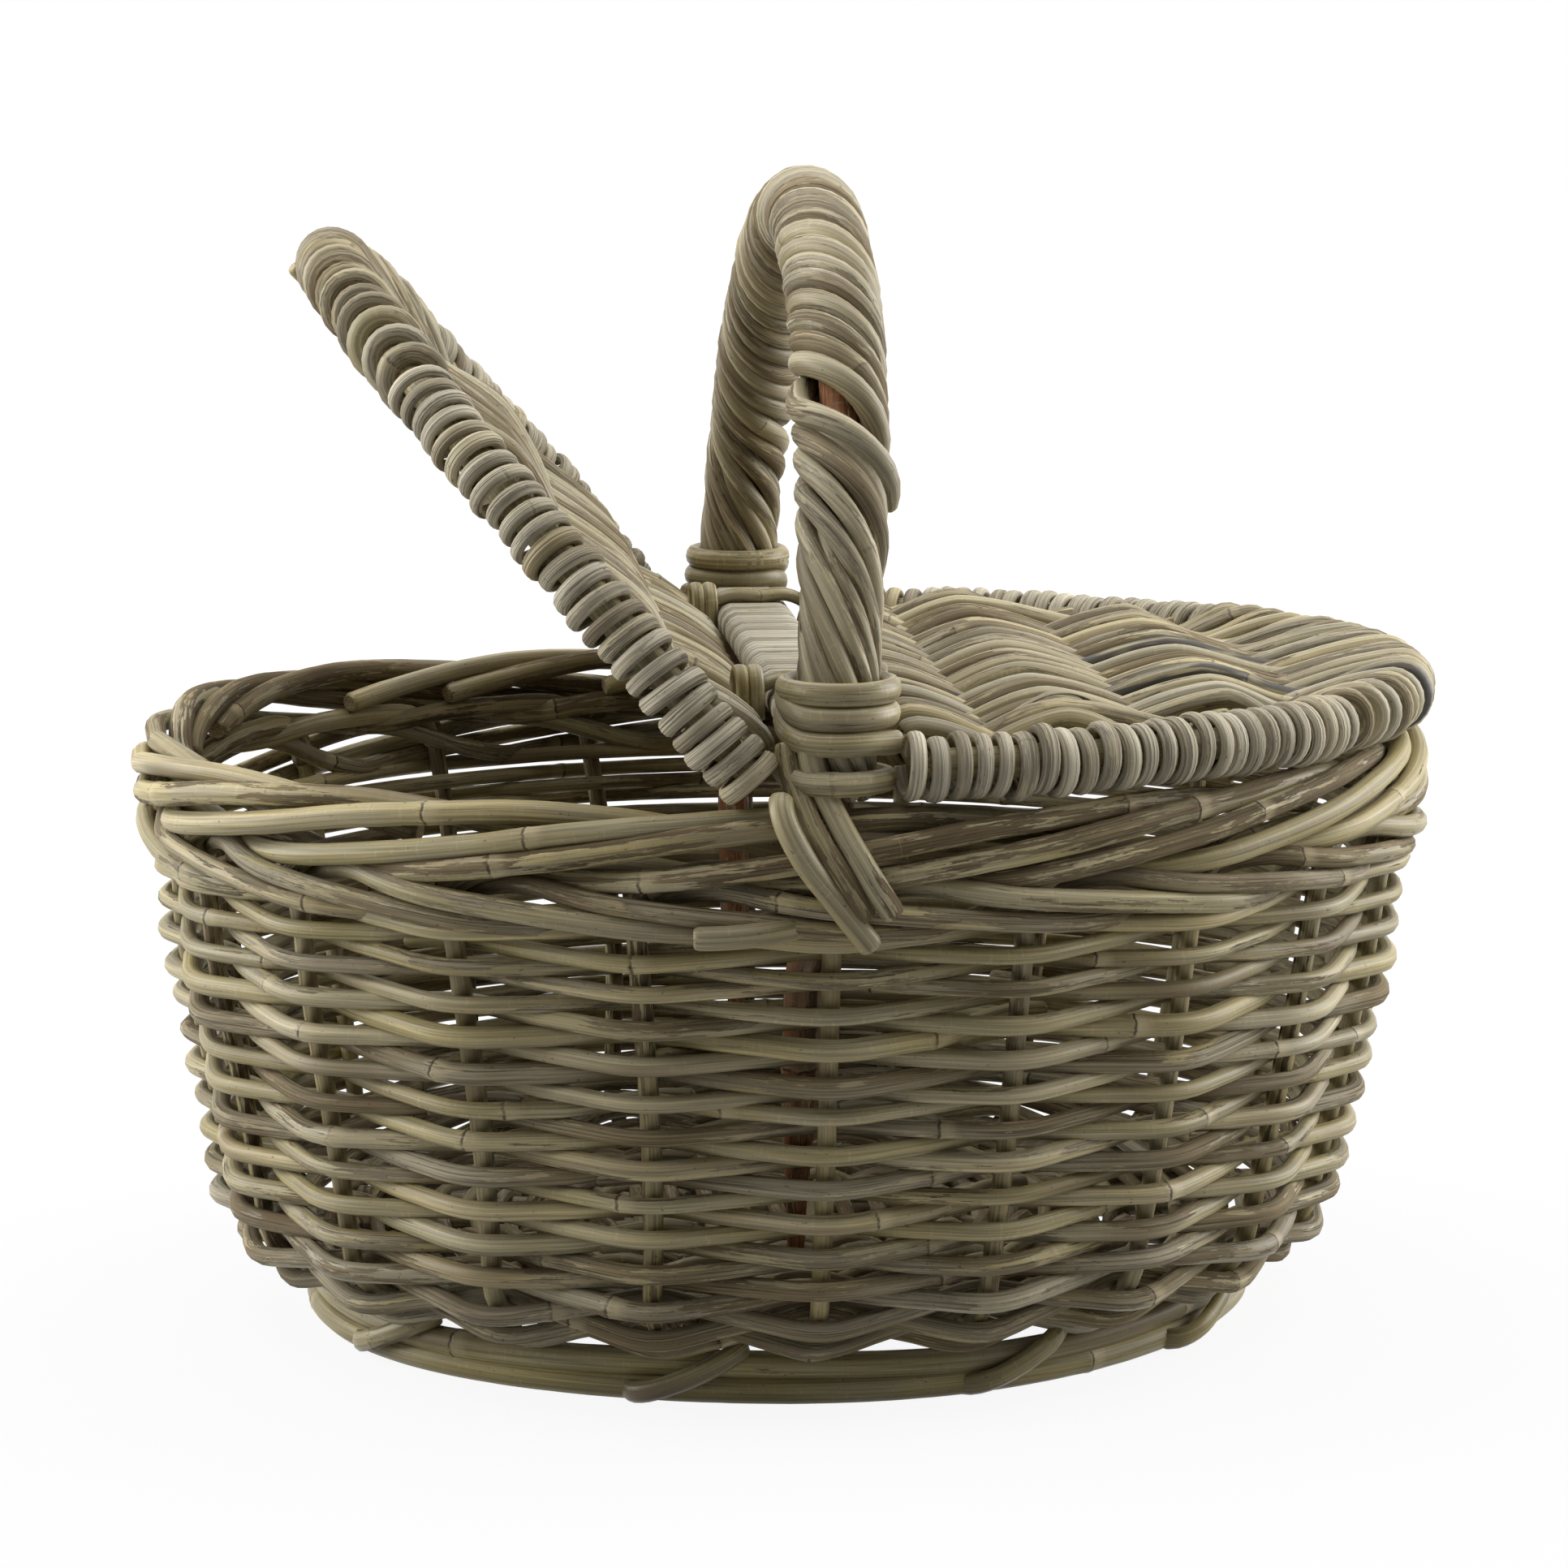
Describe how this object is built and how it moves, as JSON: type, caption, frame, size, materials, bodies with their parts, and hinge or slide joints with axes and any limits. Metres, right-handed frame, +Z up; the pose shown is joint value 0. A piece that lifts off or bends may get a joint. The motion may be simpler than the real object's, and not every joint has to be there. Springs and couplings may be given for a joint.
{
  "type": "picnic basket",
  "caption": "Oval woven picnic basket on a foot ring, with a wrapped hoop handle and two half lids that turn on cane straps laid over a cross bar.",
  "frame": {"origin": "under the middle of the basket, on the surface that it stands on", "axes": "+X along the long axis, towards the closed lid; +Y to the back; +Z up"},
  "size_m": [0.48, 0.4018, 0.4194],
  "materials": {
    "weaver": "dull grey-olive rattan weavers",
    "rod": "dull grey-brown rattan rods",
    "lid_weave": "dull grey-olive rattan",
    "lid_wrap": "flattened grey rattan core",
    "lashing": "satin olive rattan skin",
    "cane": "satin pale grey flat cane",
    "core": "red-brown thick rattan"
  },
  "bodies": {
    "basket": {"base_panel": "weaver", "foot_rod_lower": "rod", "foot_rod_upper": "rod", "handle_core": "core", "cross_bar": "core", "cross_bar_wrap": "cane", "bottom_wale": "weaver", "siding": "weaver", "top_wale": "weaver", "border": "weaver", "stake_01": "rod", "stake_02": "rod", "stake_03": "rod", "stake_04": "rod", "stake_05": "rod", "stake_06": "rod", "stake_07": "rod", "stake_08": "rod", "stake_09": "rod", "stake_10": "rod", "stake_11": "rod", "stake_12": "rod", "stake_13": "rod", "stake_14": "rod", "stake_15": "rod", "stake_16": "rod", "stake_17": "rod", "stake_18": "rod", "stake_19": "rod", "stake_20": "rod", "foot_tie_1": "lashing", "foot_tie_2": "lashing", "foot_tie_3": "lashing", "foot_tie_4": "lashing", "foot_tie_5": "lashing", "foot_tie_6": "lashing", "handle_strand_1": "lashing", "handle_strand_2": "lashing", "handle_strand_3": "lashing", "handle_strand_4": "lashing", "hinge_binding_front_left": "lashing", "hinge_binding_front_right": "lashing", "hinge_binding_back_left": "lashing", "hinge_binding_back_right": "lashing", "handle_lashing_front": "lashing", "handle_lashing_back": "lashing", "hinge_strap_front": "cane", "hinge_strap_back": "cane"},
    "left_lid": {"left_lid_rail": "rod", "left_lid_rim": "rod", "left_lid_rib_1": "rod", "left_lid_rib_2": "rod", "left_lid_weave": "lid_weave", "left_lid_rim_wrap": "lid_wrap"},
    "right_lid": {"right_lid_rail": "rod", "right_lid_rim": "rod", "right_lid_rib_1": "rod", "right_lid_rib_2": "rod", "right_lid_weave": "lid_weave", "right_lid_rim_wrap": "lid_wrap"}
  },
  "joints": [
    {"name": "left_lid_hinge", "type": "hinge", "parent": "basket", "child": "left_lid", "pos_m": [-0.0315, 0, 0.23195], "axis": [0, 1, 0], "range_deg": [-48.5, 35.5]},
    {"name": "right_lid_hinge", "type": "hinge", "parent": "basket", "child": "right_lid", "pos_m": [0.0315, 0, 0.23195], "axis": [0, -1, 0], "range_deg": [0, 84]}
  ]
}
